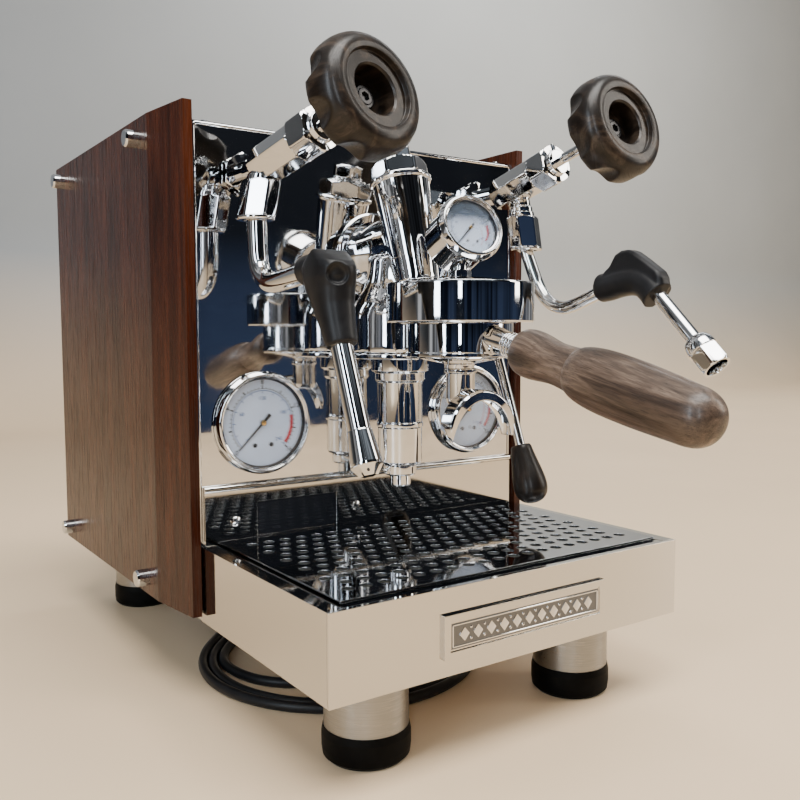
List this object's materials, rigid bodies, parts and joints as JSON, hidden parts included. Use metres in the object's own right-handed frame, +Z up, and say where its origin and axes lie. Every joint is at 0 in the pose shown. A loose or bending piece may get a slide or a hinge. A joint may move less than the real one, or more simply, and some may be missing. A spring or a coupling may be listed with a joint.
{
  "type": "espresso machine",
  "caption": "Espresso machine with a lever brew group, wooden side panels, steam and water wands and a slide-out drip tray.",
  "frame": {"origin": "on the surface the feet stand on, on the centre line, below the front face of the fascia", "axes": "+X to the machine's right as its user faces it, -Y towards the user, +Z up"},
  "size_m": [0.316, 0.5874, 0.4105],
  "materials": {
    "black_steel": "satin black sheet steel",
    "mirror_chrome": "mirror polished",
    "brushed_steel": "fine brushed",
    "badge_metal": "matt anodised",
    "walnut": "oiled and lacquered walnut",
    "black_rubber": "matt",
    "seat_plastic": "smooth",
    "dial_face": "printed dial",
    "lens": "clear",
    "needle_black": "satin",
    "brass": "bare",
    "element_steel": "dull",
    "tank_plastic": "translucent",
    "black_plastic": "fine grain"
  },
  "bodies": {
    "case": {"chassis": "black_steel", "fascia": "mirror_chrome", "rear_panel": "brushed_steel", "cup_tray": "brushed_steel", "left_side_panel": "walnut", "right_side_panel": "walnut", "case_fasteners": "mirror_chrome", "backsplash": "brushed_steel", "tray_housing": "brushed_steel", "foot_sleeves": "brushed_steel", "foot_pads": "black_rubber", "group_body": "mirror_chrome", "group_caps": "mirror_chrome", "group_gasket": "black_rubber", "shower_screen": "brushed_steel", "preinfusion_chamber": "mirror_chrome", "group_gauge_case": "mirror_chrome", "panel_gauge_cases": "mirror_chrome", "gauge_dials": "dial_face", "gauge_lenses": "lens", "valve_bodies": "mirror_chrome", "ball_nuts": "mirror_chrome", "boiler": "brass", "heating_element": "element_steel", "pump": "brass", "electronics_box": "black_plastic", "pipes": "brass", "cord_gland": "black_rubber", "cord_lead": "black_rubber", "cord_coil": "black_rubber", "cord_plug": "black_rubber"},
    "lever": {"lever_cam": "mirror_chrome", "lever_rod": "mirror_chrome", "lever_grip": "walnut"},
    "portafilter": {"portafilter_body": "mirror_chrome", "filter_basket": "brushed_steel", "portafilter_handle": "walnut", "spout": "mirror_chrome"},
    "steam_valve_knob": {"steam_stem": "mirror_chrome", "steam_knob": "walnut"},
    "water_valve_knob": {"water_stem": "mirror_chrome", "water_knob": "walnut"},
    "steam_joint": {"steam_ball_seat": "seat_plastic"},
    "steam_wand": {"steam_wand": "mirror_chrome", "steam_grip": "black_rubber", "steam_tip": "mirror_chrome"},
    "water_joint": {"water_ball_seat": "seat_plastic"},
    "water_wand": {"water_wand": "mirror_chrome", "water_grip": "black_rubber", "water_nozzle": "mirror_chrome"},
    "drip_drawer": {"tray_front": "brushed_steel", "badge_plate": "badge_metal", "drip_tray": "brushed_steel"},
    "drip_grate": {"drip_grate": "brushed_steel"},
    "water_tank": {"water_tank": "tank_plastic"},
    "tank_lid": {"tank_lid": "brushed_steel"},
    "group_needle": {"group_needle": "needle_black"},
    "left_needle": {"left_needle": "needle_black"},
    "right_needle": {"right_needle": "needle_black"},
    "power_switch": {"power_switch": "black_plastic"}
  },
  "joints": [
    {"name": "brew_lever", "type": "hinge", "parent": "case", "child": "lever", "pos_m": [0.05, -0.046, 0.244], "axis": [1, 0, 0], "range_deg": [-75, 0]},
    {"name": "portafilter_turn", "type": "hinge", "parent": "case", "child": "portafilter", "pos_m": [0, -0.103, 0.251], "axis": [0, 0, 1], "range_deg": [-38, 0]},
    {"name": "steam_knob_turn", "type": "hinge", "parent": "case", "child": "steam_valve_knob", "pos_m": [-0.095, -0.0845, 0.3606], "axis": [0.1598, -0.9549, 0.2504], "range_deg": [0, 540]},
    {"name": "water_knob_turn", "type": "hinge", "parent": "case", "child": "water_valve_knob", "pos_m": [0.095, -0.0835, 0.3606], "axis": [0, -0.9681, 0.2504], "range_deg": [0, 540]},
    {"name": "steam_wand_swing", "type": "hinge", "parent": "case", "child": "steam_joint", "pos_m": [-0.10883, -0.038, 0.32035], "axis": [0.1822, 0, 0.9833], "range_deg": [-60, 0]},
    {"name": "steam_wand_tilt", "type": "hinge", "parent": "steam_joint", "child": "steam_wand", "pos_m": [-0.10883, -0.038, 0.32035], "axis": [1, 0, 0], "range_deg": [-10, 10]},
    {"name": "water_wand_swing", "type": "hinge", "parent": "case", "child": "water_joint", "pos_m": [0.10883, -0.046, 0.31235], "axis": [-0.1822, 0, 0.9833], "range_deg": [0, 60]},
    {"name": "water_wand_tilt", "type": "hinge", "parent": "water_joint", "child": "water_wand", "pos_m": [0.10883, -0.046, 0.31235], "axis": [1, 0, 0], "range_deg": [-10, 10]},
    {"name": "drip_drawer_slide", "type": "slide", "parent": "case", "child": "drip_drawer", "axis": [0, -1, 0], "range_m": [0, 0.12]},
    {"name": "drip_grate_lift", "type": "slide", "parent": "drip_drawer", "child": "drip_grate", "axis": [0, 0, 1], "range_m": [0, 0.008]},
    {"name": "water_tank_lift", "type": "slide", "parent": "case", "child": "water_tank", "axis": [0, 0, 1], "range_m": [0, 0.3]},
    {"name": "tank_lid_lift", "type": "slide", "parent": "water_tank", "child": "tank_lid", "axis": [0, 0, 1], "range_m": [0, 0.06]},
    {"name": "group_needle_turn", "type": "hinge", "parent": "case", "child": "group_needle", "pos_m": [0, -0.1155, 0.3106], "axis": [-0.146, -0.9221, 0.3584], "range_deg": [-270, 0]},
    {"name": "left_needle_turn", "type": "hinge", "parent": "case", "child": "left_needle", "pos_m": [-0.0894, 0, 0.1843], "axis": [0, -1, 0], "range_deg": [-270, 0]},
    {"name": "right_needle_turn", "type": "hinge", "parent": "case", "child": "right_needle", "pos_m": [0.0894, 0, 0.1843], "axis": [0, -1, 0], "range_deg": [-270, 0]},
    {"name": "power_rocker", "type": "hinge", "parent": "case", "child": "power_switch", "pos_m": [0.085, 0.2825, 0.095], "axis": [1, 0, 0], "range_deg": [-16, 0]}
  ]
}
